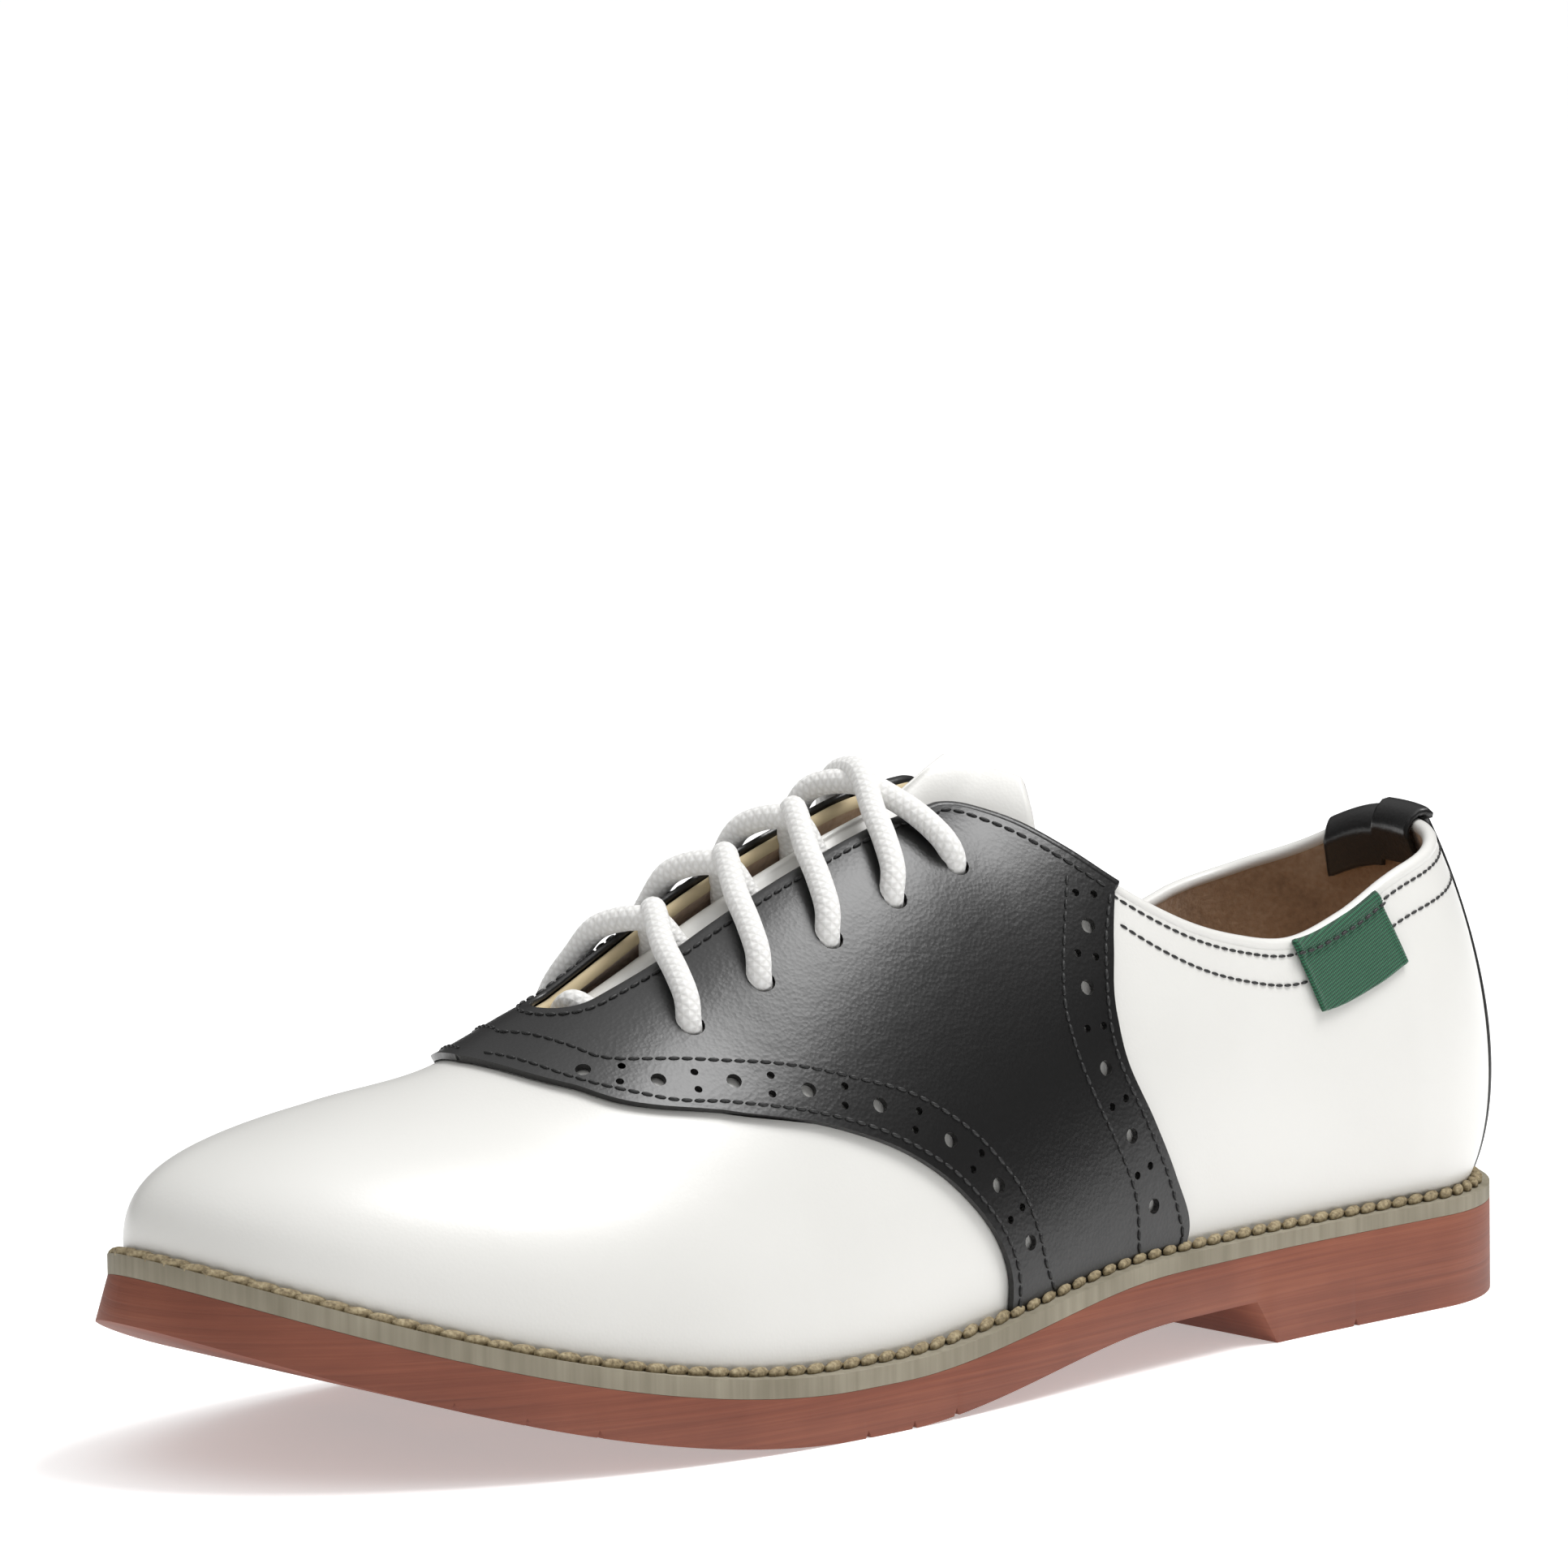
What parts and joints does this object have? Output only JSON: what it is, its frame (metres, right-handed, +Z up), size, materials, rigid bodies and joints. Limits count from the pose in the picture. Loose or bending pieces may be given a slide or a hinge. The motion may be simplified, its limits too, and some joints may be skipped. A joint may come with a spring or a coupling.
{
  "type": "saddle shoe",
  "caption": "Low lace-up saddle shoe with a white leather upper, black saddle overlay, stitched welt and low-heeled rubber sole.",
  "frame": {"origin": "centre of the bounding box at floor level", "axes": "toe towards +X, +Z up, the wearer's outer side towards +Y"},
  "size_m": [0.2667, 0.091, 0.0964],
  "materials": {
    "outsole_rubber": "matt",
    "midsole_rand": "matt",
    "insole_lining": "suede",
    "white_leather": "satin",
    "black_leather": "satin",
    "black_strip": "satin",
    "tongue_leather": "satin",
    "label_fabric": "woven",
    "lace_fabric": "braided",
    "lace_fabric_1": "braided",
    "lace_fabric_2": "braided",
    "lace_fabric_3": "braided",
    "lace_fabric_4": "braided"
  },
  "bodies": {
    "root": {"outsole": "outsole_rubber", "midsole": "midsole_rand", "insole": "insole_lining", "upper": "white_leather", "saddle": "black_leather", "backstay": "black_strip", "tongue": "tongue_leather", "side_label": "label_fabric", "lace_bar": "lace_fabric", "lace_cross_1": "lace_fabric_1", "lace_cross_2": "lace_fabric_2", "lace_cross_3": "lace_fabric_3", "lace_cross_4": "lace_fabric_4"}
  },
  "joints": []
}
